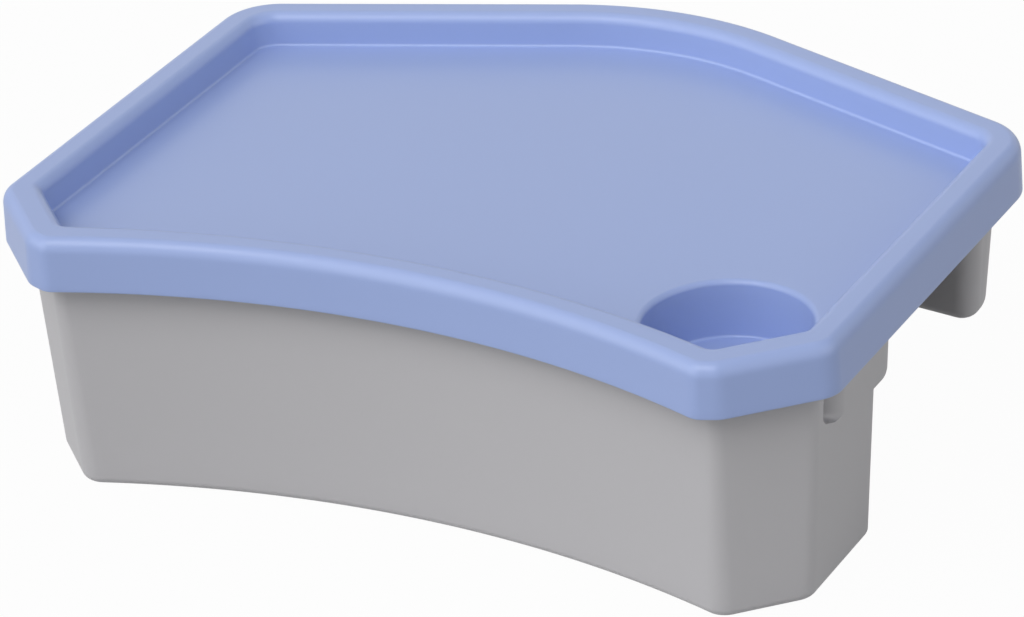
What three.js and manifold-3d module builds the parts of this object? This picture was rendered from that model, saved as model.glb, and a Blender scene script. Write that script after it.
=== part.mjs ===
// A caddy for a walking frame, in two mouldings. The tray has a raised hollow rim, a skirt, a sunken
// floor and a cup recess, and it lifts off. The tub under it has a deep compartment on the user's side
// and a shallower pocket behind, joined by a web that bridges the crossbar of the frame.
// Millimetres, +Z up, the user at -Y, +X to the user's right.

import * as THREE from 'three';
import { mergeVertices } from 'three/addons/utils/BufferGeometryUtils.js';
import Module from 'manifold-3d';

const wasm = await Module();
wasm.setup();

// Outline of the tray at the bottom edge of its skirt, from the line through the front corners

const halfWidth = 235;
const cornerCut = 46.9;
const frontBow = 33.8;
const sideLength = 297.3;
const peakRise = 86;
const frontCornerRadius = 18;
const backCornerRadius = 34;
const peakRadius = 180;

// Tray: heights, rim and floor. A short blunt wall joins the skirt's front to each corner cut.

const trayWall = 2.5;
const skirtHeight = 29;
const skirtDraftDegrees = 1.4;
const skirtBow = 34.4;
const bluntSetback = 4.4;
const bluntReach = 5.4;
const bluntRise = 1.8;
const bluntRadius = 11;
const rimOuterRadius = 6;
const rimInnerRadius = 6;
const rimWidth = 19.7;
const rimCutExtra = 1.6;
const basinDepth = 18.6;
const basinDraftDegrees = 1.2;
const basinFloorRadius = 1.5;
const basinCornerRadius = 5;

// Tray: cup recess, measured from the middle of the tray and from the line through the front corners

const cupAcross = 160.7;
const cupBack = 81.1;
const cupRadius = 43.8;
const cupDepth = 30.4;
const cupDraftDegrees = 3.5;
const cupLipRadius = 2.5;
const cupFloorRadius = 1.5;

// Tub: walls and drafts

const tubWall = 2.5;
const tubHeight = 121.7;
const tubInset = 12.1;
const frontDraftDegrees = 2.1;
const cutDraftDegrees = 3.3;
const sideDraftDegrees = 3.6;
const tubCornerRadius = 9;
const tubCornerGrowthShare = 0.032;
const tubFloorRadius = 5;

// Tub: stepped back of the deep compartment

const deepLength = 129;
const shoulderReach = 16.4;
const shoulderDrop = 36;
const shoulderRadius = 4;

// Tub: rear pocket

const pocketLength = 50.8;
const pocketBow = 17.5;
const pocketDrop = 65.3;
const pocketBackInset = 13.7;
const pocketSideDraftDegrees = 4.6;
const pocketFrontDraftDegrees = 3.2;
const pocketBackDraftDegrees = 3.7;
const pocketFrontCornerRadius = 9.5;
const pocketBackCornerRadius = 30;
const pocketFloorRadius = 7.3;

// Tub: finger recess in each side wall, from the line through the front corners

const recessStart = 59.9;
const recessLength = 26.6;
const recessDepth = 8;
const recessRadius = 10.6;
const recessDrop = 24.4;
const recessFallShare = 0.42;
const recessFloorRadius = 2;

// Fit and cutting

const seatGap = 0.3;
const overrun = 6;

// Facets

const cornerSteps = 5;
const backCornerSteps = 6;
const peakSteps = 9;
const bowSteps = 16;
const filletSteps = 4;
const recessSteps = 6;
const cupSteps = 44;

// Sizes that follow

const slope = (degrees) => Math.tan(THREE.MathUtils.degToRad(degrees));
const skirtBottom = tubHeight;
const rimTop = skirtBottom + skirtHeight;
const trayFloor = rimTop - basinDepth;
const tubTop = rimTop - rimInnerRadius;
const webTop = trayFloor - trayWall - seatGap;
const webBottom = webTop - tubWall;
const frontHalfWidth = halfWidth - cornerCut;
const skirtHalfWidth = frontHalfWidth - bluntSetback;
const peak = sideLength + peakRise;
const pocketStart = sideLength - pocketLength;
const point = (x, y) => new THREE.Vector2(x, y);

// Walls of an outline, walked counter-clockwise from above. A straight wall runs from one point to
// another. A bowed wall is an arc through two points level with each other, bent into the piece.
// Each is set in by its own inset, and the corner where it starts has its own radius and steps.

function straightWall(start, end, inset, radius, steps = cornerSteps) {
  const along = end.clone().sub(start).normalize();
  const inward = point(-along.y, along.x);
  return { start, along, inward, inset, radius, steps };
}

function bowedWall(halfChord, y, bow, inset, radius) {
  const bowRadius = (halfChord ** 2 + bow ** 2) / (2 * bow);
  const centre = point(0, y + bow - bowRadius);
  return { centre, bowRadius, inset, radius, steps: cornerSteps };
}

function crossing(straight, straightInset, other, otherInset) {
  const origin = straight.start.clone().addScaledVector(straight.inward, straightInset);
  if (!other.centre) {
    const target = other.start.clone().addScaledVector(other.inward, otherInset);
    const travel = target.sub(origin).cross(other.along) / straight.along.cross(other.along);
    return origin.addScaledVector(straight.along, travel);
  }
  const toOrigin = origin.clone().sub(other.centre);
  const half = toOrigin.dot(straight.along);
  const reach = Math.sqrt(half ** 2 - toOrigin.lengthSq() + (other.bowRadius + otherInset) ** 2);
  const right = origin.clone().addScaledVector(straight.along, reach - half);
  const left = origin.clone().addScaledVector(straight.along, -reach - half);
  return right.y > left.y ? right : left;
}

function towards(wall, middle) {
  return wall.centre ? wall.centre.clone().sub(middle).normalize() : wall.inward.clone().negate();
}

// The arc of the corner between two walls, whose middle lies one radius inside both of them

function cornerArc(before, after) {
  const { radius, steps } = after;
  const [straight, other] = before.centre ? [after, before] : [before, after];
  const middle = crossing(straight, straight.inset + radius, other, other.inset + radius);
  const from = towards(before, middle);
  const turn = Math.atan2(from.cross(towards(after, middle)), from.dot(towards(after, middle)));
  const arc = [];
  for (let step = 0; step <= steps; step++) {
    const spoke = from.clone().rotateAround(point(0, 0), (turn * step) / steps);
    arc.push(middle.clone().addScaledVector(spoke, radius));
  }
  return arc;
}

function outline(walls) {
  const corners = walls.map((wall, index) => cornerArc(walls.at(index - 1), wall));
  return walls.flatMap((wall, index) => {
    const corner = corners[index];
    if (!wall.centre) {
      return corner;
    }
    const from = corner.at(-1);
    const to = corners[(index + 1) % walls.length][0];
    const start = from.clone().sub(wall.centre);
    const turn = start.angleTo(to.clone().sub(wall.centre));
    const bow = [];
    for (let step = 1; step < bowSteps; step++) {
      bow.push(from.clone().rotateAround(wall.centre, (-turn * step) / bowSteps));
    }
    return [...corner, ...bow];
  });
}

// Solids: a loft through rings that have the same number of points, which may have their own heights

function loft(levels) {
  const count = levels[0].ring.length;
  const positions = levels.flatMap(({ ring, z }) => ring.flatMap(({ x, y, z: own = z }) => [x, y, own]));
  const triangles = [];
  for (let level = 0; level < levels.length - 1; level++) {
    for (let index = 0; index < count; index++) {
      const a = level * count + index;
      const b = level * count + ((index + 1) % count);
      triangles.push(a, b, b + count, a, b + count, a + count);
    }
  }
  const top = (levels.length - 1) * count;
  for (const [a, b, c] of THREE.ShapeUtils.triangulateShape(levels[0].ring, [])) {
    triangles.push(a, c, b);
  }
  for (const [a, b, c] of THREE.ShapeUtils.triangulateShape(levels.at(-1).ring, [])) {
    triangles.push(top + a, top + b, top + c);
  }
  const geometry = new THREE.BufferGeometry();
  geometry.setAttribute('position', new THREE.Float32BufferAttribute(positions, 3));
  geometry.setIndex(triangles);
  return solid(geometry);
}

function solid(geometry) {
  geometry.deleteAttribute('normal');
  geometry.deleteAttribute('uv');
  const merged = mergeVertices(geometry);
  const index = merged.index.array;
  const kept = [];
  for (let at = 0; at < index.length; at += 3) {
    const [a, b, c] = [index[at], index[at + 1], index[at + 2]];
    if (a !== b && b !== c && c !== a) {
      kept.push(a, b, c);
    }
  }
  const vertProperties = new Float32Array(merged.attributes.position.array);
  const mesh = new wasm.Mesh({ numProp: 3, vertProperties, triVerts: new Uint32Array(kept) });
  return new wasm.Manifold(mesh);
}

function piece(name, manifold, material) {
  const { vertProperties, triVerts } = manifold.getMesh();
  const geometry = new THREE.BufferGeometry();
  geometry.setAttribute('position', new THREE.BufferAttribute(vertProperties, 3));
  geometry.setIndex(new THREE.BufferAttribute(triVerts, 1));
  geometry.computeVertexNormals();
  const mesh = new THREE.Mesh(geometry, material);
  mesh.name = name;
  return mesh;
}

// A quarter round as a list of steps: how far in from the wall, and how far on from the face

function quarterRound(radius) {
  const rounds = [];
  for (let step = 0; step <= filletSteps; step++) {
    const angle = (Math.PI / 2) * (step / filletSteps);
    rounds.push({ inward: radius * (1 - Math.sin(angle)), onward: radius * (1 - Math.cos(angle)) });
  }
  return rounds;
}

// The outline all round, with an inset for each kind of wall

const frontRight = point(frontHalfWidth, 0);
const cutRight = point(halfWidth, cornerCut);
const backRight = point(halfWidth, sideLength);
const backPeak = point(0, peak);
const mirrored = ({ x, y }) => point(-x, y);

function allRound(set, frontRadius) {
  const backRadius = backCornerRadius - set.back;
  const [frontLeft, cutLeft, backLeft] = [frontRight, cutRight, backRight].map(mirrored);
  return outline([
    bowedWall(frontHalfWidth, 0, frontBow, set.front, frontRadius),
    straightWall(frontRight, cutRight, set.cut, frontRadius),
    straightWall(cutRight, backRight, set.side, frontRadius),
    straightWall(backRight, backPeak, set.back, backRadius, backCornerSteps),
    straightWall(backPeak, backLeft, set.back, peakRadius - set.back, peakSteps),
    straightWall(backLeft, cutLeft, set.side, backRadius, backCornerSteps),
    straightWall(cutLeft, frontLeft, set.cut, frontRadius),
  ]);
}

const alike = (inset) => ({ front: inset, cut: inset, side: inset, back: inset });

function skirtLevel(z, inset) {
  const radius = frontCornerRadius - inset;
  const backRadius = backCornerRadius - inset;
  const bluntFront = point(skirtHalfWidth, bluntRise);
  const bluntCut = point(frontHalfWidth + bluntReach, bluntReach);
  const [cutLeft, backLeft] = [cutRight, backRight].map(mirrored);
  const [bluntFrontLeft, bluntCutLeft] = [bluntFront, bluntCut].map(mirrored);
  const ring = outline([
    bowedWall(skirtHalfWidth, 0, skirtBow, inset, bluntRadius - inset),
    straightWall(bluntFront, bluntCut, inset, bluntRadius - inset),
    straightWall(bluntCut, cutRight, inset, radius),
    straightWall(cutRight, backRight, inset, radius),
    straightWall(backRight, backPeak, inset, backRadius, backCornerSteps),
    straightWall(backPeak, backLeft, inset, peakRadius - inset, peakSteps),
    straightWall(backLeft, cutLeft, inset, backRadius, backCornerSteps),
    straightWall(cutLeft, bluntCutLeft, inset, radius),
    straightWall(bluntCutLeft, bluntFrontLeft, inset, radius),
  ]);
  return { z, ring };
}

// The rim is a little wider over the corner cuts

function basinLevel(z, inset) {
  const set = { ...alike(inset), cut: inset + rimCutExtra };
  return { z, ring: allRound(set, basinCornerRadius + rimWidth - inset) };
}

// Tray

function trayBody(shrink, low) {
  const skirtSlope = slope(skirtDraftDegrees);
  const inset = (z) => shrink + (z - skirtBottom) * skirtSlope;
  const top = rimTop - shrink;
  const rounds = quarterRound(rimOuterRadius - shrink);
  return loft([
    skirtLevel(low, inset(low)),
    ...rounds.map(({ inward, onward }) => skirtLevel(top - inward, inset(top) + onward)),
  ]);
}

// The basin, or with a grow of one wall the shell round it, open at the top over the rim's inner round

function basin(grow) {
  const floor = trayFloor - grow;
  const top = rimTop - grow;
  const inset = (z) => rimWidth + (rimTop - z) * slope(basinDraftDegrees) - grow;
  const lipInset = inset(rimTop - rimInnerRadius);
  const lipRadius = rimInnerRadius - grow;
  const floorLevels = quarterRound(basinFloorRadius + grow).map(({ inward, onward }) =>
    basinLevel(floor + onward, inset(floor + onward) + inward));
  const lipLevels = quarterRound(lipRadius).map(({ inward, onward }) =>
    basinLevel(top - inward, lipInset - onward));
  return loft([...floorLevels, ...lipLevels, basinLevel(rimTop + overrun, lipInset - lipRadius)]);
}

function turned(profile) {
  const geometry = new THREE.LatheGeometry(profile, cupSteps);
  geometry.rotateX(Math.PI / 2);
  geometry.translate(cupAcross, cupBack, 0);
  return solid(geometry);
}

function cup(grow) {
  const wallSlope = slope(cupDraftDegrees);
  const floor = trayFloor - cupDepth - grow;
  const radius = (z) => cupRadius + grow - (trayFloor - z) * wallSlope;
  return [
    point(0, floor),
    ...quarterRound(cupFloorRadius + grow).map(({ inward, onward }) =>
      point(radius(floor + onward) - inward, floor + onward)),
  ];
}

function cupCut() {
  const rounds = quarterRound(cupLipRadius);
  const lip = rounds.map(({ inward, onward }) => point(cupRadius + onward, trayFloor - inward));
  const top = trayFloor + basinFloorRadius;
  return turned([...cup(0), ...lip, point(cupRadius + cupLipRadius, top), point(0, top)]);
}

function cupShell() {
  const top = trayFloor - trayWall + seatGap;
  return turned([...cup(trayWall), point(cupRadius + trayWall, top), point(0, top)]);
}

function makeTray() {
  const underside = trayBody(trayWall, skirtBottom - overrun).subtract(basin(trayWall));
  const tray = trayBody(0, skirtBottom).subtract(basin(0)).add(cupShell()).subtract(cupCut());
  return tray.subtract(underside.subtract(cupShell()));
}

// Tub

function tubInsets(z, shrink) {
  const down = skirtBottom - z;
  return {
    front: tubInset + down * slope(frontDraftDegrees) + shrink,
    cut: tubInset + down * slope(cutDraftDegrees) + shrink,
    side: tubInset + down * slope(sideDraftDegrees) + shrink,
    back: tubInset + shrink,
  };
}

function rimBand(low, high, shrink) {
  const ring = (z) => ({ z, ring: allRound(tubInsets(z, shrink), tubCornerRadius) });
  return loft([ring(low), ring(high)]);
}

function deepRing(z, length, shrink, round = 0) {
  const set = tubInsets(z, shrink + round);
  const radius = tubCornerRadius + (skirtBottom - z) * tubCornerGrowthShare - shrink - round;
  const rearRadius = tubCornerRadius - shrink - round;
  const [frontLeft, cutLeft] = [frontRight, cutRight].map(mirrored);
  const rearRight = point(halfWidth, length);
  const rearLeft = mirrored(rearRight);
  return {
    z,
    ring: outline([
      bowedWall(frontHalfWidth, 0, frontBow, set.front, radius),
      straightWall(frontRight, cutRight, set.cut, radius),
      straightWall(cutRight, rearRight, set.side, radius),
      straightWall(rearRight, rearLeft, shrink + round, rearRadius),
      straightWall(rearLeft, cutLeft, set.side, rearRadius),
      straightWall(cutLeft, frontLeft, set.cut, radius),
    ]),
  };
}

// The deep compartment steps back at its shoulder, so that its upper part is the longer one

function deepCompartment(top, shrink) {
  const floor = shrink;
  const step = skirtBottom - shoulderDrop + shrink;
  const shoulderLength = deepLength + shoulderReach;
  const floorRounds = quarterRound(tubFloorRadius - shrink);
  const stepRounds = quarterRound(shoulderRadius - shrink);
  return loft([
    ...floorRounds.map(({ inward, onward }) => deepRing(floor + onward, deepLength, shrink, inward)),
    deepRing(step, deepLength, shrink),
    ...stepRounds.map(({ inward, onward }) => deepRing(step + onward, shoulderLength - inward, shrink)),
    deepRing(top, shoulderLength, shrink),
    deepRing(top + tubWall / 2, shoulderLength, shrink, tubWall / 2),
  ]);
}

function pocketRing(z, shrink, round = 0) {
  const down = skirtBottom - z;
  const set = shrink + round;
  const side = tubInset + down * slope(pocketSideDraftDegrees) + set;
  const front = down * slope(pocketFrontDraftDegrees) + set;
  const back = pocketBackInset + down * slope(pocketBackDraftDegrees) + set;
  const backRadius = pocketBackCornerRadius - set;
  const frontRadius = pocketFrontCornerRadius - set;
  const pocketRight = point(halfWidth, pocketStart);
  const [pocketLeft, backLeft] = [pocketRight, backRight].map(mirrored);
  return {
    z,
    ring: outline([
      bowedWall(halfWidth - tubInset, pocketStart, pocketBow, front, frontRadius),
      straightWall(pocketRight, backRight, side, frontRadius),
      straightWall(backRight, backPeak, back, backRadius, backCornerSteps),
      straightWall(backPeak, backLeft, back, peakRadius - back, peakSteps),
      straightWall(backLeft, pocketLeft, side, backRadius, backCornerSteps),
    ]),
  };
}

function rearPocket(top, shrink) {
  const floor = skirtBottom - pocketDrop + shrink;
  const rounds = quarterRound(pocketFloorRadius - shrink);
  return loft([
    ...rounds.map(({ inward, onward }) => pocketRing(floor + onward, shrink, inward)),
    pocketRing(top, shrink),
    pocketRing(top + tubWall / 2, shrink, tubWall / 2),
  ]);
}

// The finger recess goes square in at its front end and comes back out to the wall's face over a round.
// It leans as the wall does, and its floor falls to the rear.

function recessRing(z, fallShare, side, grow) {
  const start = recessStart - grow;
  const end = recessStart + recessLength;
  const radius = recessRadius - grow;
  const sweep = Math.acos((radius - recessDepth) / radius);
  const profile = [
    { depth: recessDepth + grow, y: start },
    { depth: -overrun, y: start },
    { depth: -overrun, y: end },
  ];
  for (let step = 0; step <= recessSteps; step++) {
    const angle = (sweep * step) / recessSteps;
    profile.push({ depth: recessRadius - radius * Math.cos(angle), y: end - radius * Math.sin(angle) });
  }
  const ring = profile.map(({ depth, y }) => {
    const height = z - (y - recessStart) * fallShare;
    const x = halfWidth - tubInsets(height, depth).side;
    return new THREE.Vector3(side * x, y, height);
  });
  return { ring: side > 0 ? ring : ring.reverse() };
}

function fingerRecess(side, grow) {
  const floor = skirtBottom - recessDrop - grow;
  const top = webBottom - seatGap + grow;
  const rounds = quarterRound(recessFloorRadius + grow);
  return loft([
    ...rounds.map(({ inward, onward }) =>
      recessRing(floor + onward, recessFallShare, side, grow - inward)),
    recessRing(top, 0, side, grow),
  ]);
}

function makeTub() {
  let body = rimBand(webBottom, tubTop, 0);
  body = body.add(deepCompartment(webBottom, 0)).add(rearPocket(webBottom, 0));
  let hollow = rimBand(webTop, tubTop + overrun, tubWall);
  hollow = hollow.add(deepCompartment(webTop, tubWall)).add(rearPocket(webTop, tubWall));
  for (const side of [1, -1]) {
    body = body.subtract(fingerRecess(side, 0));
    hollow = hollow.subtract(fingerRecess(side, tubWall));
  }
  return body.subtract(hollow);
}

// Assembly, with the origin under the middle of the tub

const trayMaterial = new THREE.MeshStandardMaterial({ color: 0x9fb0dc, roughness: 0.42, metalness: 0 });
const tubMaterial = new THREE.MeshStandardMaterial({ color: 0xaaaaac, roughness: 0.5, metalness: 0 });

const reach = skirtLevel(skirtBottom, 0).ring.map(({ y }) => y);
const caddy = new THREE.Group();
caddy.position.y = -(Math.min(...reach) + Math.max(...reach)) / 2;
caddy.add(piece('tray', makeTray(), trayMaterial));
caddy.add(piece('tub', makeTub(), tubMaterial));

export default caddy;
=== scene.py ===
"""Looks of a walking-frame caddy: a lift-off tray over a storage tub, both satin mouldings.

The lengths are in millimetres from the line through the front corners, as in the part's source, and
each mesh is put in metres in the row's frame when it is made.
"""

import math

import bmesh
import bpy
import numpy as np
from mathutils import Matrix


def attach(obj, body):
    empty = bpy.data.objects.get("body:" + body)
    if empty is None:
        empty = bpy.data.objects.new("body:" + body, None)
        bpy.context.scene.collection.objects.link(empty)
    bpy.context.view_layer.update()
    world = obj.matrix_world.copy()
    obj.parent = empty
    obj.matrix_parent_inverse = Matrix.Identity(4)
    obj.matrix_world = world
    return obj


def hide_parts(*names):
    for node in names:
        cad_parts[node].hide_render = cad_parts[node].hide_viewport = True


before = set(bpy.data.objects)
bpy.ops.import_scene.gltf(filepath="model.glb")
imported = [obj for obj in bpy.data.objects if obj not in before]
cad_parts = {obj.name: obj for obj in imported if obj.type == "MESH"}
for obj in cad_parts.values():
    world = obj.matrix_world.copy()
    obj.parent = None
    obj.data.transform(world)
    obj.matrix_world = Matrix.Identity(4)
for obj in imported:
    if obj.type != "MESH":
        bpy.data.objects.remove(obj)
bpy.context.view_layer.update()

# Camera: where it stands in metres, how it is turned, its lens, and how near and far it sees

CAMERA_PLACE = (1.15134, -2.11483, 1.30389)
CAMERA_AZIMUTH = math.radians(28.89)
CAMERA_ELEVATION = math.radians(27.36)
CAMERA_ROLL = math.radians(-3.47)
CAMERA_LENS = 182.11
CAMERA_SENSOR = 36.0
CAMERA_CLIP = (0.05, 60.0)

# Light: soft suns by azimuth and elevation in degrees, strength, and how many degrees wide each is.
# Which suns there are and eight of the strengths are the rounded results of a scratch program that
# fitted them to the photo. The first, eighth and last strengths and the narrower widths were set apart
# from the fit.

SUNS = (
    (0, 28, 0.42, 60),
    (90, 28, 0.535, 60),
    (315, 28, 0.635, 60),
    (0, 52, 0.975, 36),
    (225, 52, 0.275, 60),
    (270, 52, 0.035, 60),
    (315, 52, 0.285, 44),
    (0, 88, 0.27, 60),
    (90, 6, 0.415, 60),
    (135, 6, 0.15, 60),
    (315, 6, 0.8, 60),
)

# Floor, in metres: its half width, how far under the object it lies, how pale and rough it is, and how
# much of what is looked at is its own glow, seen straight on and in the object's gloss

FLOOR_HALF = 12.0
FLOOR_GAP = 0.0002
FLOOR_SHADE = 0.5
FLOOR_ROUGHNESS = 0.9
FLOOR_GLOW_SHARE = 0.97
FLOOR_GLOSS_SHARE = 0.5

# Plastics: display colours from 0 to 255, the range of the roughness and the strength of the gloss.
# Under a roughness of about 0.27 the denoiser takes the gloss for a mirror and leaves small marks. Both
# plastics share the rest: the slow noise that shades them, and the fine grain, its height in metres.

TRAY_COLOUR = (156, 175, 223)
TRAY_SHADE = (154, 173, 221)
TRAY_ROUGHNESS = (0.28, 0.34)
TRAY_GLOSS = 0.45
TUB_COLOUR = (187, 186, 189)
TUB_SHADE = (185, 184, 187)
TUB_ROUGHNESS = (0.36, 0.44)
TUB_GLOSS = 0.5
PLASTIC_IOR = 1.49
DRIFT_SCALE = 9.0
DRIFT_DETAIL = 3.0
GRAIN_SCALE = 1400.0
GRAIN_DETAIL = 2.0
GRAIN_STRENGTH = 0.1
GRAIN_HEIGHT = 0.0001

# Outline at the bottom edge of the tray's skirt

HALF_WIDTH = 235.0
CORNER_CUT = 46.9
FRONT_BOW = 33.8
SIDE_LENGTH = 297.3
PEAK_RISE = 86.0
FRONT_CORNER_RADIUS = 18.0
BACK_CORNER_RADIUS = 34.0
PEAK_RADIUS = 180.0

# Tray

TRAY_WALL = 2.5
SKIRT_BOTTOM = 121.7
SKIRT_HEIGHT = 29.0
SKIRT_DRAFT = math.radians(1.4)
SKIRT_EDGE_RADIUS = 0.7
SKIRT_BOW = 34.4
BLUNT_SETBACK = 4.4
BLUNT_REACH = 5.4
BLUNT_RISE = 1.8
BLUNT_RADIUS = 11.0
RIM_OUTER_ACROSS = 6.0
RIM_OUTER_DOWN = 8.0
RIM_INNER_RADIUS = 6.0
RIM_WIDTH = 19.7
RIM_CUT_EXTRA = 1.6
BASIN_DEPTH = 18.6
BASIN_DRAFT = math.radians(1.2)
BASIN_FLOOR_RADIUS = 1.5
BASIN_CORNER_RADIUS = 5.0

# Cup recess

CUP_ACROSS = 161.5
CUP_BACK = 81.9
CUP_RADIUS = 42.2
CUP_DEPTH = 30.4
CUP_DRAFT = math.radians(3.5)
CUP_LIP_RADIUS = 3.3
CUP_FLOOR_RADIUS = 1.5
CUP_NECK = 1.0

# Tub

TUB_WALL = 2.5
TUB_INSET = 12.1
FRONT_DRAFT = math.radians(2.1)
CUT_DRAFT = math.radians(3.3)
SIDE_DRAFT = math.radians(3.6)
TUB_CORNER_RADIUS = 9.0
TUB_CORNER_GROWTH_SHARE = 0.032
TUB_FLOOR_RADIUS = 5.0
TUB_EDGE_RADIUS = 0.8
DEEP_LENGTH = 129.0
SHOULDER_REACH = 16.4
SHOULDER_DROP = 36.0
SHOULDER_RADIUS = 4.0
DEEP_TOP_DROP = 3.0
POCKET_LENGTH = 50.8
POCKET_BOW = 17.5
POCKET_DROP = 65.3
POCKET_BACK_INSET = 13.7
POCKET_SIDE_DRAFT = math.radians(4.6)
POCKET_FRONT_DRAFT = math.radians(3.2)
POCKET_BACK_DRAFT = math.radians(3.7)
POCKET_FRONT_CORNER_RADIUS = 9.5
POCKET_BACK_CORNER_RADIUS = 30.0
POCKET_FLOOR_RADIUS = 7.3
RECESS_START = 59.9
RECESS_LENGTH = 26.6
RECESS_DEPTH = 8.0
RECESS_ROUND = 16.0
RECESS_DROP = 24.4
RECESS_FALL_SHARE = 0.42
RECESS_FLOOR_RADIUS = 5.0
SEAT_GAP = 0.3

# Small allowances: how far a cutting form runs on past what it cuts, the hairs by which two faces keep
# apart, and the flat strip beside a round, where a flat face is filled in

OVERRUN = 6.0
BAND_HAIR = 0.02
STEP_HAIR = 0.01
FLAT_MARGIN = 0.3

# Steps round the outline and across the rounds, and levels of points up the walls

CORNER_STEPS = 14
BACK_CORNER_STEPS = 20
PEAK_STEPS = 36
BOW_STEPS = 90
WALL_STEPS = 24
ROUND_STEPS = 10
RIM_STEPS = 14
EDGE_STEPS = 4
TUB_EDGE_STEPS = 5
CUP_STEPS = 192
TRAY_LEVELS = 8
CUP_LEVELS = 12
CUP_OUTSIDE_LEVELS = 10
TUB_LEVELS = 10
SHOULDER_LEVELS = 6
BAND_LEVELS = 5

# Edges that turn by more than this stay sharp

SHARP_ANGLE = math.radians(32)

# The row's frame: it is in metres, and its Y starts from the middle of the part's depth

METRES = 0.001
MIDDLE = 186.59

# Heights, a start, a lap and the outline's corners, which follow from the lengths above

RIM_TOP = SKIRT_BOTTOM + SKIRT_HEIGHT
TRAY_FLOOR = RIM_TOP - BASIN_DEPTH
TUB_TOP = RIM_TOP - RIM_INNER_RADIUS
WEB_TOP = TRAY_FLOOR - TRAY_WALL - SEAT_GAP
WEB_BOTTOM = WEB_TOP - TUB_WALL
POCKET_START = SIDE_LENGTH - POCKET_LENGTH
LAP = TUB_WALL / 2
FRONT_RIGHT = (HALF_WIDTH - CORNER_CUT, 0.0)
CUT_RIGHT = (HALF_WIDTH, CORNER_CUT)
BACK_RIGHT = (HALF_WIDTH, SIDE_LENGTH)
BACK_PEAK = (0.0, SIDE_LENGTH + PEAK_RISE)


# Walls of an outline, for many levels at once


def cross(a, b):
    """The turn from one flat direction to another, as the height of their cross product."""
    return a[..., 0] * b[..., 1] - a[..., 1] * b[..., 0]


def straight_wall(start, end, inset, radius, steps=CORNER_STEPS):
    """A wall from one point to another, set in by inset at each level, with the round before it."""
    start, end = np.array(start), np.array(end)
    along = (end - start) / np.linalg.norm(end - start)
    inward = np.array([-along[1], along[0]])
    return {
        "start": start,
        "along": along,
        "inward": inward,
        "inset": inset,
        "radius": radius,
        "steps": steps,
    }


def bowed_wall(half_chord, y, bow, inset, radius):
    """A wall that is an arc through two points level with each other, bent into the piece."""
    bow_radius = (half_chord**2 + bow**2) / (2 * bow)
    centre = np.array([0.0, y + bow - bow_radius])
    return {
        "centre": centre,
        "bow_radius": bow_radius,
        "inset": inset,
        "radius": radius,
        "steps": CORNER_STEPS,
    }


def crossing(straight, straight_inset, other, other_inset):
    """Where a straight wall set in by its inset meets another wall set in by its own, at each level."""
    origin = straight["start"] + straight_inset[:, None] * straight["inward"]
    if "centre" not in other:
        target = other["start"] + other_inset[:, None] * other["inward"]
        travel = cross(target - origin, other["along"]) / cross(straight["along"], other["along"])
        return origin + travel[:, None] * straight["along"]
    to_origin = origin - other["centre"]
    half = to_origin @ straight["along"]
    reach = np.sqrt(half**2 - (to_origin**2).sum(1) + (other["bow_radius"] + other_inset) ** 2)
    right = origin + (reach - half)[:, None] * straight["along"]
    left = origin - (reach + half)[:, None] * straight["along"]
    return np.where((right[:, 1] > left[:, 1])[:, None], right, left)


def towards(wall, middle):
    """The direction from the middle of a round to the wall that it touches."""
    if "centre" in wall:
        away = wall["centre"] - middle
        return away / np.linalg.norm(away, axis=1)[:, None]
    return np.broadcast_to(-wall["inward"], middle.shape)


def rotated(spoke, angle):
    """Flat directions, one a level, each turned through a row of angles."""
    cosine, sine = np.cos(angle), np.sin(angle)
    x, y = spoke[:, 0, None], spoke[:, 1, None]
    return np.stack([x * cosine - y * sine, x * sine + y * cosine], axis=-1)


def corner(before, after):
    """The round between two walls: an arc about a middle one radius inside both of them."""
    radius = after["radius"]
    straight, other = (after, before) if "centre" in before else (before, after)
    middle = crossing(straight, straight["inset"] + radius, other, other["inset"] + radius)
    start, finish = towards(before, middle), towards(after, middle)
    turn = np.arctan2(cross(start, finish), (start * finish).sum(1))
    spoke = rotated(start, turn[:, None] * np.linspace(0, 1, after["steps"] + 1))
    return middle[:, None] + radius[:, None, None] * spoke


def between(wall, start, end):
    """The points of a wall between its two rounds: on a line, or on its arc about its centre."""
    if "centre" not in wall:
        share = np.linspace(0, 1, WALL_STEPS + 1)[1:-1, None]
        return start[:, None] + share * (end - start)[:, None]
    first, last = start - wall["centre"], end - wall["centre"]
    turn = np.arctan2(cross(first, last), (first * last).sum(1))
    share = np.linspace(0, 1, BOW_STEPS + 1)[1:-1]
    return wall["centre"] + rotated(first, turn[:, None] * share)


def outline(walls):
    """Closed rings of points, one a level, counter-clockwise from above: rounds and what joins them."""
    corners = [corner(walls[i - 1], wall) for i, wall in enumerate(walls)]
    parts = []
    for i, wall in enumerate(walls):
        following = corners[(i + 1) % len(walls)]
        parts += [corners[i], between(wall, corners[i][:, -1], following[:, 0])]
    return np.concatenate(parts, axis=1)


def at_height(rings, z):
    """Flat rings lifted to their heights."""
    heights = np.broadcast_to(np.asarray(z, float)[:, None], rings.shape[:2])
    return np.concatenate([rings, heights[..., None]], axis=2)


def mirrored(place):
    """The same place on the other side of the middle."""
    return (-place[0], place[1])


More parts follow.
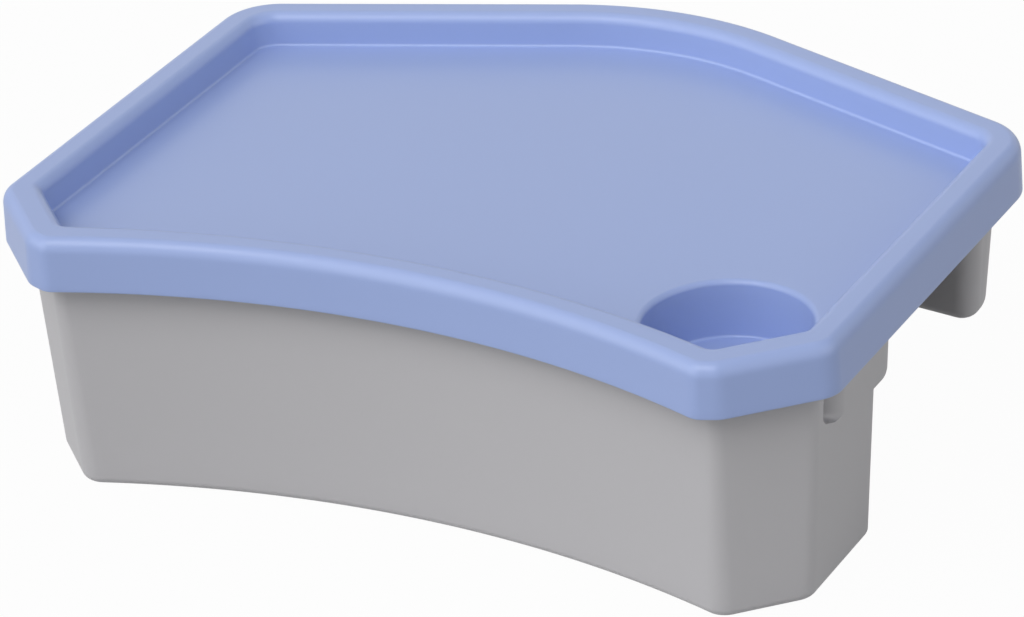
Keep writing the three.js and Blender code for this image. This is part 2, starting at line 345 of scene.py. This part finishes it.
def all_round(front, cut, side, back, radius):
    """The whole outline, with an inset for each kind of wall at each level."""
    back_radius = BACK_CORNER_RADIUS - back
    front_left, cut_left = mirrored(FRONT_RIGHT), mirrored(CUT_RIGHT)
    back_left = mirrored(BACK_RIGHT)
    return outline([
        bowed_wall(FRONT_RIGHT[0], 0.0, FRONT_BOW, front, radius),
        straight_wall(FRONT_RIGHT, CUT_RIGHT, cut, radius),
        straight_wall(CUT_RIGHT, BACK_RIGHT, side, radius),
        straight_wall(BACK_RIGHT, BACK_PEAK, back, back_radius, BACK_CORNER_STEPS),
        straight_wall(BACK_PEAK, back_left, back, PEAK_RADIUS - back, PEAK_STEPS),
        straight_wall(back_left, cut_left, side, back_radius, BACK_CORNER_STEPS),
        straight_wall(cut_left, front_left, cut, radius),
    ])


def quarter(radius, steps=ROUND_STEPS):
    """A quarter round in steps: how far in from the wall, and how far on from the face."""
    angle = np.linspace(0, math.pi / 2, steps + 1)
    return radius * (1 - np.sin(angle)), radius * (1 - np.cos(angle))


def grid_faces(levels, count):
    """Four-sided faces between the rings of a grid of points, ring by ring."""
    row = np.arange(levels - 1)[:, None] * count
    column = np.arange(count)[None]
    following = (column + 1) % count
    corners = [row + column, row + following, row + following + count, row + column + count]
    return np.stack(corners, axis=-1).reshape(-1, 4)


def piece(name, points, faces, material):
    """A mesh object from points in millimetres and faces. Each point is moved to the row's frame by
    taking off the middle, and then scaled to metres."""
    placed = (np.asarray(points, float) - [0, MIDDLE, 0]) * METRES
    mesh = bpy.data.meshes.new(name)
    mesh.from_pydata(placed, [], faces)
    mesh.update()
    made = bpy.data.objects.new(name, mesh)
    bpy.context.scene.collection.objects.link(made)
    if material:
        mesh.materials.append(material)
    return made


def smooth(made):
    """Smooth shading, with the edges that turn by more than the sharp angle kept sharp."""
    mesh = made.data
    mesh.polygons.foreach_set("use_smooth", np.ones(len(mesh.polygons), bool))
    mesh.set_sharp_from_angle(angle=SHARP_ANGLE)
    mesh.update()


def closed(name, points):
    """A closed solid through rings of points, one a level going up, with a face over each end."""
    levels, count = points.shape[:2]
    faces = grid_faces(levels, count).tolist()
    bottom = np.arange(count)[::-1].tolist()
    top = (np.arange(count) + (levels - 1) * count).tolist()
    return piece(name, points.reshape(-1, 3), faces + [bottom, top], None)


# Tray: one closed surface, worked out as a section carried round the outline


def skirt_rings(z, inset):
    """Rings of the skirt and the rim's outer round. A short blunt wall joins the bowed front to each
    corner cut, and the corner radii shrink with the inset."""
    radius, blunt_radius = FRONT_CORNER_RADIUS - inset, BLUNT_RADIUS - inset
    back_radius = BACK_CORNER_RADIUS - inset
    bow_width = FRONT_RIGHT[0] - BLUNT_SETBACK
    blunt_front, blunt_cut = (bow_width, BLUNT_RISE), (FRONT_RIGHT[0] + BLUNT_REACH, BLUNT_REACH)
    left_front, left_blunt = mirrored(blunt_front), mirrored(blunt_cut)
    left_cut, left_back = mirrored(CUT_RIGHT), mirrored(BACK_RIGHT)
    rings = outline([
        bowed_wall(bow_width, 0.0, SKIRT_BOW, inset, blunt_radius),
        straight_wall(blunt_front, blunt_cut, inset, blunt_radius),
        straight_wall(blunt_cut, CUT_RIGHT, inset, radius),
        straight_wall(CUT_RIGHT, BACK_RIGHT, inset, radius),
        straight_wall(BACK_RIGHT, BACK_PEAK, inset, back_radius, BACK_CORNER_STEPS),
        straight_wall(BACK_PEAK, left_back, inset, PEAK_RADIUS - inset, PEAK_STEPS),
        straight_wall(left_back, left_cut, inset, back_radius, BACK_CORNER_STEPS),
        straight_wall(left_cut, left_blunt, inset, radius),
        straight_wall(left_blunt, left_front, inset, radius),
    ])
    return at_height(rings, z)


def basin_rings(z, inset):
    """Rings of the basin, which is set in a little more at the corner cuts."""
    radius = BASIN_CORNER_RADIUS + RIM_WIDTH - inset
    return at_height(all_round(inset, inset + RIM_CUT_EXTRA, inset, inset, radius), z)


def tray_outside(shrink):
    """Rings from the rim's flat top over its outer round and down the skirt to its lower edge, which
    has a small quarter round of its own. With a shrink of one wall they are the inner face."""
    top = RIM_TOP - shrink

    def skirt_inset(z):
        return shrink + (z - SKIRT_BOTTOM) * math.tan(SKIRT_DRAFT)

    inward, onward = quarter(1.0, RIM_STEPS)
    z_round = top - (RIM_OUTER_DOWN - shrink) * inward[::-1]
    inset_round = skirt_inset(z_round) + (RIM_OUTER_ACROSS - shrink) * onward[::-1]
    z_skirt = np.linspace(z_round[-1], SKIRT_BOTTOM + SKIRT_EDGE_RADIUS, TRAY_LEVELS)[1:]
    inward, onward = quarter(SKIRT_EDGE_RADIUS, EDGE_STEPS)
    z_edge = SKIRT_BOTTOM + inward[1:]
    way = -1 if shrink else 1
    z = np.concatenate([[top], z_round, z_skirt, z_edge])
    inset_flat = inset_round[0] + FLAT_MARGIN
    inset_edge = skirt_inset(z_edge) + way * onward[1:]
    inset = np.concatenate([[inset_flat], inset_round, skirt_inset(z_skirt), inset_edge])
    return skirt_rings(z, inset)


def tray_inside(shrink):
    """Rings from the edge of the tray's floor over its round, up the basin's wall and over the rim's
    inner round to its flat top. With a shrink of one wall they are the underside."""
    floor, top = TRAY_FLOOR - shrink, RIM_TOP - shrink

    def basin_inset(z):
        return RIM_WIDTH + (RIM_TOP - z) * math.tan(BASIN_DRAFT) - shrink

    inward, onward = quarter(BASIN_FLOOR_RADIUS + shrink)
    z_floor = floor + onward
    inset_floor = basin_inset(z_floor) + inward
    lip_low = RIM_TOP - RIM_INNER_RADIUS
    z_wall = np.linspace(z_floor[-1], lip_low, TRAY_LEVELS)[1:-1]
    inward, onward = quarter(RIM_INNER_RADIUS - shrink, RIM_STEPS)
    inset_lip = basin_inset(lip_low) - onward
    z = np.concatenate([[floor], z_floor, z_wall, top - inward, [top]])
    inset = np.concatenate([
        [inset_floor[0] + FLAT_MARGIN],
        inset_floor,
        basin_inset(z_wall),
        inset_lip,
        [inset_lip[-1] - FLAT_MARGIN],
    ])
    return basin_rings(z, inset)


def cup_side(grow):
    """One side of the cup recess as rings: the lip's round, the drafted wall, the floor's round and
    the floor's rim, each a circle about the recess's middle. With a grow of one wall it is the
    outside, which has no lip."""
    floor = TRAY_FLOOR - CUP_DEPTH - grow
    slope = math.tan(CUP_DRAFT)

    def radius(z):
        return CUP_RADIUS + grow - (TRAY_FLOOR - z) * slope

    inward, onward = quarter(CUP_FLOOR_RADIUS + grow)
    z_floor = floor + onward[::-1]
    r_floor = radius(z_floor) - inward[::-1]
    if grow:
        z_top = np.array([TRAY_FLOOR - TRAY_WALL])
        r_top = np.array([CUP_RADIUS + CUP_LIP_RADIUS])
        z_wall = np.linspace(z_top[0] - CUP_NECK, z_floor[0], CUP_OUTSIDE_LEVELS)[:-1]
    else:
        inward, onward = quarter(CUP_LIP_RADIUS)
        z_top = TRAY_FLOOR - inward[::-1]
        r_top = CUP_RADIUS + onward[::-1]
        z_wall = np.linspace(z_top[-1], z_floor[0], CUP_LEVELS)[1:-1]
    z = np.concatenate([z_top, z_wall, z_floor])
    r = np.concatenate([r_top, radius(z_wall), r_floor])
    angle = np.linspace(0, 2 * math.pi, CUP_STEPS, endpoint=False)
    x = CUP_ACROSS + r[:, None] * np.cos(angle)
    y = CUP_BACK + r[:, None] * np.sin(angle)
    return np.stack([x, y, np.broadcast_to(z[:, None], x.shape)], axis=-1)


def make_tray(material):
    """The tray as one closed surface. Its outer and inner faces are joined at the skirt's lower edge,
    and flat faces fill the rim's top, the floor round the cup recess, the recess's own floor, and the
    undersides of all three."""
    outside = np.concatenate([tray_outside(0.0), tray_outside(TRAY_WALL)[::-1]])
    grids = [outside, tray_inside(0.0), tray_inside(TRAY_WALL), cup_side(0.0), cup_side(TRAY_WALL)]
    starts = np.cumsum([0] + [grid.shape[0] * grid.shape[1] for grid in grids])
    faces = []
    for grid, start in zip(grids, starts):
        faces += (grid_faces(*grid.shape[:2]) + start).tolist()
    for end in starts[-2:]:
        faces.append(np.arange(end - CUP_STEPS, end).tolist())
    points = np.concatenate([grid.reshape(-1, 3) for grid in grids])
    made = piece("tray_shell", points, faces, material)

    def first(grid):
        return set(range(starts[grid], starts[grid] + grids[grid].shape[1]))

    def last(grid):
        return set(range(starts[grid + 1] - grids[grid].shape[1], starts[grid + 1]))

    shape = bmesh.new()
    shape.from_mesh(made.data)
    rim, rim_under = first(0) | last(1), last(0) | last(2)
    floor, floor_under = first(1) | first(3), first(2) | first(4)
    for ends in (rim, rim_under, floor, floor_under):
        open_edges = [edge for edge in shape.edges if edge.is_boundary]
        edges = [edge for edge in open_edges if all(v.index in ends for v in edge.verts)]
        bmesh.ops.triangle_fill(shape, use_beauty=True, use_dissolve=False, edges=edges)
    bmesh.ops.recalc_face_normals(shape, faces=shape.faces)
    shape.to_mesh(made.data)
    shape.free()
    smooth(made)
    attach(made, "tray")
    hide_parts("tray")


# Tub


def tub_insets(z, shrink):
    """How far each kind of wall stands in from the outline, which its draft makes more lower down."""
    down = SKIRT_BOTTOM - z
    front = TUB_INSET + down * math.tan(FRONT_DRAFT) + shrink
    cut = TUB_INSET + down * math.tan(CUT_DRAFT) + shrink
    side = TUB_INSET + down * math.tan(SIDE_DRAFT) + shrink
    return front, cut, side


def rim_band(name, low, shrink, hollow):
    """The band that goes all round above the web. A quarter round draws its top edge in. The hollow's
    edge goes out by the same quarter round, and the hollow runs on past the top. The drafted walls
    stand in by a hair, so that they don't coincide with those of the forms below."""
    inward, onward = quarter(TUB_EDGE_RADIUS, TUB_EDGE_STEPS)
    wall = np.linspace(low, TUB_TOP - TUB_EDGE_RADIUS, BAND_LEVELS)[:-1]
    z = np.concatenate([wall, TUB_TOP - inward])
    extra = np.concatenate([np.zeros(len(wall)), onward])
    if hollow:
        z = np.append(z, TUB_TOP + OVERRUN)
        extra = -np.append(extra, onward[-1])
    front, cut, side = tub_insets(z, shrink + extra + BAND_HAIR)
    back = TUB_INSET + shrink + extra
    radius = TUB_CORNER_RADIUS - shrink + (SKIRT_BOTTOM - z) * TUB_CORNER_GROWTH_SHARE - extra
    return closed(name, at_height(all_round(front, cut, side, back, radius), z))


def deep_rings(z, length, shrink, inward):
    """Rings of the deep compartment, from the bowed front to its straight back at length."""
    front, cut, side = tub_insets(z, shrink + inward)
    radius = TUB_CORNER_RADIUS + (SKIRT_BOTTOM - z) * TUB_CORNER_GROWTH_SHARE - shrink - inward
    rear_radius = TUB_CORNER_RADIUS - shrink - inward
    wide = HALF_WIDTH
    rings = []
    for i in range(len(z)):
        one = slice(i, i + 1)
        rings.append(outline([
            bowed_wall(FRONT_RIGHT[0], 0.0, FRONT_BOW, front[one], radius[one]),
            straight_wall(FRONT_RIGHT, CUT_RIGHT, cut[one], radius[one]),
            straight_wall(CUT_RIGHT, (wide, length[i]), side[one], radius[one]),
            straight_wall(
                (wide, length[i]), (-wide, length[i]), (shrink + inward)[one], rear_radius[one]),
            straight_wall((-wide, length[i]), mirrored(CUT_RIGHT), side[one], rear_radius[one]),
            straight_wall(mirrored(CUT_RIGHT), mirrored(FRONT_RIGHT), cut[one], radius[one]),
        ]))
    return np.concatenate(rings)


def deep_compartment(name, top, shrink):
    """The deep compartment: floor round, lower wall, shoulder round, upper wall. The back moves out to
    the shoulder's reach within a hair of height, and the top laps into the band above."""
    step = SKIRT_BOTTOM - SHOULDER_DROP + shrink
    far = DEEP_LENGTH + SHOULDER_REACH
    inward, onward = quarter(TUB_FLOOR_RADIUS - shrink)
    shoulder_in, shoulder_on = quarter(SHOULDER_RADIUS - shrink)
    low = np.linspace(shrink + onward[-1], step, TUB_LEVELS)[1:-1]
    high = np.linspace(step + shoulder_on[-1], top, SHOULDER_LEVELS)[1:]
    z = np.concatenate([
        shrink + onward,
        low,
        [step - STEP_HAIR],
        step + shoulder_on,
        high,
        [top + LAP],
    ])
    extra = np.concatenate([inward, np.zeros(len(z) - len(inward))])
    length = np.concatenate([
        np.full(len(inward) + len(low) + 1, DEEP_LENGTH),
        far - shoulder_in,
        np.full(len(high) + 1, far),
    ])
    rings = deep_rings(z, length, np.full(len(z), shrink), extra)
    return closed(name, at_height(rings, z))


def rear_pocket(name, top, shrink):
    """The pocket behind the channel: a bowed front, drafted sides and the two back walls."""
    floor = SKIRT_BOTTOM - POCKET_DROP + shrink
    inward, onward = quarter(POCKET_FLOOR_RADIUS - shrink)
    high = np.linspace(floor + onward[-1], top, TUB_LEVELS)[1:]
    z = np.concatenate([floor + onward, high, [top + LAP]])
    extra = np.concatenate([inward, np.zeros(len(high) + 1)]) + shrink
    down = SKIRT_BOTTOM - z
    side = TUB_INSET + down * math.tan(POCKET_SIDE_DRAFT) + extra
    front = down * math.tan(POCKET_FRONT_DRAFT) + extra
    back = POCKET_BACK_INSET + down * math.tan(POCKET_BACK_DRAFT) + extra
    back_radius = POCKET_BACK_CORNER_RADIUS - extra
    front_radius = POCKET_FRONT_CORNER_RADIUS - extra
    pocket_right = (HALF_WIDTH, POCKET_START)
    rings = outline([
        bowed_wall(HALF_WIDTH - TUB_INSET, POCKET_START, POCKET_BOW, front, front_radius),
        straight_wall(pocket_right, BACK_RIGHT, side, front_radius),
        straight_wall(BACK_RIGHT, BACK_PEAK, back, back_radius, BACK_CORNER_STEPS),
        straight_wall(BACK_PEAK, mirrored(BACK_RIGHT), back, PEAK_RADIUS - back, PEAK_STEPS),
        straight_wall(
            mirrored(BACK_RIGHT), mirrored(pocket_right), side, back_radius, BACK_CORNER_STEPS),
    ])
    return closed(name, at_height(rings, z))


def finger_recess(name, hand, grow):
    """A scoop in a side wall. It is square in at its front end, level with the wall's own lean, and
    comes back out to the wall's face over a quarter round; its floor falls to the rear. Each level's
    ring holds depths from the face and lengths from the front, and a grow moves all of it outwards."""
    inward, onward = quarter(RECESS_FLOOR_RADIUS + grow)
    wider = grow - np.append(inward, 0.0)
    heights = np.append(SKIRT_BOTTOM - RECESS_DROP - grow + onward, WEB_BOTTOM - SEAT_GAP + grow)
    fall = np.append(np.full(len(inward), RECESS_FALL_SHARE), 0.0)
    radius = RECESS_ROUND - wider
    sweep = np.arccos((RECESS_ROUND - RECESS_DEPTH - wider) / radius)
    angle = sweep[:, None] * np.linspace(0, 1, CORNER_STEPS + 1)
    front, end = RECESS_START - wider, RECESS_START + RECESS_LENGTH
    out = np.full(len(wider), -OVERRUN)
    scoop_depth = RECESS_ROUND - radius[:, None] * np.cos(angle)
    scoop_length = end - radius[:, None] * np.sin(angle)
    depth = np.column_stack([RECESS_DEPTH + wider, out, out, scoop_depth])
    length = np.column_stack([front, front, np.full(len(wider), end), scoop_length])
    z = heights[:, None] - fall[:, None] * (length - RECESS_START)
    face = HALF_WIDTH - TUB_INSET - (SKIRT_BOTTOM - z) * math.tan(SIDE_DRAFT)
    points = np.stack([face - depth, length, z], axis=-1)
    if hand < 0:
        points = points[:, ::-1] * [-1, 1, 1]
    return closed(name, points)


def combined(base, others, operation):
    """The base after each of the others is joined to it or cut from it. The others are used up."""
    for other in others:
        modifier = base.modifiers.new(operation, "BOOLEAN")
        modifier.operation = operation
        modifier.solver = "MANIFOLD"
        modifier.object = other
    graph = bpy.context.evaluated_depsgraph_get()
    mesh = bpy.data.meshes.new_from_object(base.evaluated_get(graph))
    base.modifiers.clear()
    base.data = mesh
    for other in others:
        bpy.data.objects.remove(other)
    return base


def make_tub(material):
    """Outer forms joined, the finger recesses cut from them, and the hollows cut out."""
    hands = (("right", 1), ("left", -1))
    body = rim_band("tub_shell", WEB_BOTTOM, 0.0, False)
    deep = deep_compartment("deep_form", TUB_TOP - DEEP_TOP_DROP, 0.0)
    body = combined(body, [deep, rear_pocket("pocket_form", WEB_BOTTOM, 0.0)], "UNION")
    recesses = [finger_recess(f"recess_{side}", hand, 0.0) for side, hand in hands]
    body = combined(body, recesses, "DIFFERENCE")

    hollow = rim_band("hollow", WEB_TOP, TUB_WALL, True)
    deep = deep_compartment("deep_hollow", WEB_TOP, TUB_WALL)
    hollow = combined(hollow, [deep, rear_pocket("pocket_hollow", WEB_TOP, TUB_WALL)], "UNION")
    bumps = [finger_recess(f"bump_{side}", hand, TUB_WALL) for side, hand in hands]
    hollow = combined(hollow, bumps, "DIFFERENCE")

    body = combined(body, [hollow], "DIFFERENCE")
    body.data.materials.clear()
    body.data.materials.append(material)
    smooth(body)
    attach(body, "tub")
    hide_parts("tub")


# Materials


def linear(red, green, blue):
    """A display colour from 0 to 255 as the light it stands for, by the sRGB curve."""
    share = np.array([red, green, blue]) / 255
    light = np.where(share <= 0.04045, share / 12.92, ((share + 0.055) / 1.055) ** 2.4)
    return (*light.tolist(), 1.0)


def noise(nodes, links, place, scale, detail):
    """A noise that is read off the place on the object."""
    made = nodes.new("ShaderNodeTexNoise")
    made.inputs["Scale"].default_value = scale
    made.inputs["Detail"].default_value = detail
    links.new(place.outputs["Object"], made.inputs["Vector"])
    return made


def plastic(name, colour, shade, roughness, gloss):
    """Satin moulded plastic: two near shades mixed by a slow noise, a roughness that drifts with the
    same noise, and a fine grain in the surface."""
    material = bpy.data.materials.new(name)
    material.use_nodes = True
    nodes, links = material.node_tree.nodes, material.node_tree.links
    shader = nodes["Principled BSDF"]
    shader.inputs["IOR"].default_value = PLASTIC_IOR
    shader.inputs["Specular IOR Level"].default_value = gloss
    place = nodes.new("ShaderNodeTexCoord")

    drift = noise(nodes, links, place, DRIFT_SCALE, DRIFT_DETAIL)
    mix = nodes.new("ShaderNodeMix")
    mix.data_type = "RGBA"
    mix.inputs["A"].default_value = linear(*shade)
    mix.inputs["B"].default_value = linear(*colour)
    links.new(drift.outputs["Fac"], mix.inputs["Factor"])
    links.new(mix.outputs["Result"], shader.inputs["Base Color"])

    rough = nodes.new("ShaderNodeMapRange")
    rough.inputs["To Min"].default_value = roughness[0]
    rough.inputs["To Max"].default_value = roughness[1]
    links.new(drift.outputs["Fac"], rough.inputs["Value"])
    links.new(rough.outputs["Result"], shader.inputs["Roughness"])

    grain = noise(nodes, links, place, GRAIN_SCALE, GRAIN_DETAIL)
    bump = nodes.new("ShaderNodeBump")
    bump.inputs["Strength"].default_value = GRAIN_STRENGTH
    bump.inputs["Distance"].default_value = GRAIN_HEIGHT
    links.new(grain.outputs["Fac"], bump.inputs["Height"])
    links.new(bump.outputs["Normal"], shader.inputs["Normal"])
    return material


# Camera, floor and light


def make_camera():
    """A camera at the azimuth, elevation and roll of the photograph: its right is the azimuth's, its
    forward looks down by the elevation, and both turn about forward by the roll."""
    a, e, r = CAMERA_AZIMUTH, CAMERA_ELEVATION, CAMERA_ROLL
    right = np.array([math.cos(a), math.sin(a), 0.0])
    forward = np.array([-math.sin(a) * math.cos(e), math.cos(a) * math.cos(e), -math.sin(e)])
    up = np.cross(right, forward)
    across = right * math.cos(r) + up * math.sin(r)
    upright = -right * math.sin(r) + up * math.cos(r)
    turn = Matrix(np.array([across, upright, -forward]).T.tolist())
    data = bpy.data.cameras.new("camera")
    data.lens = CAMERA_LENS
    data.sensor_width = CAMERA_SENSOR
    data.clip_start, data.clip_end = CAMERA_CLIP
    camera = bpy.data.objects.new("camera", data)
    bpy.context.scene.collection.objects.link(camera)
    camera.matrix_world = Matrix.Translation(CAMERA_PLACE) @ turn.to_4x4()
    bpy.context.scene.camera = camera


def sun(azimuth, elevation, strength, width):
    """A wide soft sun. Its azimuth goes round from the camera's side of the row, -Y, towards +X, and
    the lamp's own -Z looks from there to the middle."""
    data = bpy.data.lights.new(f"sun_{azimuth}_{elevation}", "SUN")
    data.angle = math.radians(width)
    data.energy = strength
    made = bpy.data.objects.new(data.name, data)
    bpy.context.scene.collection.objects.link(made)
    around, up = math.radians(azimuth), math.radians(elevation)
    made.rotation_euler = (math.pi / 2 - up, 0.0, around)


def looked_at(nodes, links, gloss):
    """How much of a glow is seen: all of it straight on, gloss of it by rays that see it in the
    object's gloss or through it, and none by rays that carry light. The two are added."""
    path = nodes.new("ShaderNodeLightPath")
    total = path.outputs["Is Camera Ray"]
    for kind in ("Is Glossy Ray", "Is Transmission Ray"):
        add = nodes.new("ShaderNodeMath")
        add.operation = "MULTIPLY_ADD"
        add.use_clamp = True
        add.inputs[1].default_value = gloss
        links.new(path.outputs[kind], add.inputs[0])
        links.new(total, add.inputs[2])
        total = add.outputs["Value"]
    return total


def make_world():
    """White where it is looked at, and no light on the object."""
    world = bpy.data.worlds.new("world")
    bpy.context.scene.world = world
    world.use_nodes = True
    nodes, links = world.node_tree.nodes, world.node_tree.links
    background = nodes["Background"]
    background.inputs["Color"].default_value = (1, 1, 1, 1)
    links.new(looked_at(nodes, links, 1.0), background.inputs["Strength"])


def make_floor():
    """A wide pale floor, just under the object so that their faces don't coincide. It looks nearly
    white, with the object's soft shadow on it."""
    mesh = bpy.data.meshes.new("floor")
    square = ((-1, -1), (1, -1), (1, 1), (-1, 1))
    corners = [(x * FLOOR_HALF, y * FLOOR_HALF, -FLOOR_GAP) for x, y in square]
    mesh.from_pydata(corners, [], [(0, 1, 2, 3)])
    floor = bpy.data.objects.new("floor", mesh)
    bpy.context.scene.collection.objects.link(floor)
    material = bpy.data.materials.new("floor_paint")
    material.use_nodes = True
    nodes, links = material.node_tree.nodes, material.node_tree.links
    shader = nodes["Principled BSDF"]
    shader.inputs["Base Color"].default_value = (FLOOR_SHADE, FLOOR_SHADE, FLOOR_SHADE, 1)
    shader.inputs["Roughness"].default_value = FLOOR_ROUGHNESS
    shader.inputs["Specular IOR Level"].default_value = 0.0
    glow = nodes.new("ShaderNodeEmission")
    glow.inputs["Strength"].default_value = 1.0
    share = nodes.new("ShaderNodeMath")
    share.operation = "MULTIPLY"
    share.inputs[1].default_value = FLOOR_GLOW_SHARE
    links.new(looked_at(nodes, links, FLOOR_GLOSS_SHARE), share.inputs[0])
    mix = nodes.new("ShaderNodeMixShader")
    links.new(share.outputs["Value"], mix.inputs["Fac"])
    links.new(shader.outputs["BSDF"], mix.inputs[1])
    links.new(glow.outputs["Emission"], mix.inputs[2])
    links.new(mix.outputs["Shader"], nodes["Material Output"].inputs["Surface"])
    mesh.materials.append(material)


make_camera()
make_tray(plastic("tray_plastic", TRAY_COLOUR, TRAY_SHADE, TRAY_ROUGHNESS, TRAY_GLOSS))
make_tub(plastic("tub_plastic", TUB_COLOUR, TUB_SHADE, TUB_ROUGHNESS, TUB_GLOSS))
make_floor()
make_world()
for row in SUNS:
    sun(*row)

scene = bpy.context.scene
scene.view_settings.view_transform = "Standard"
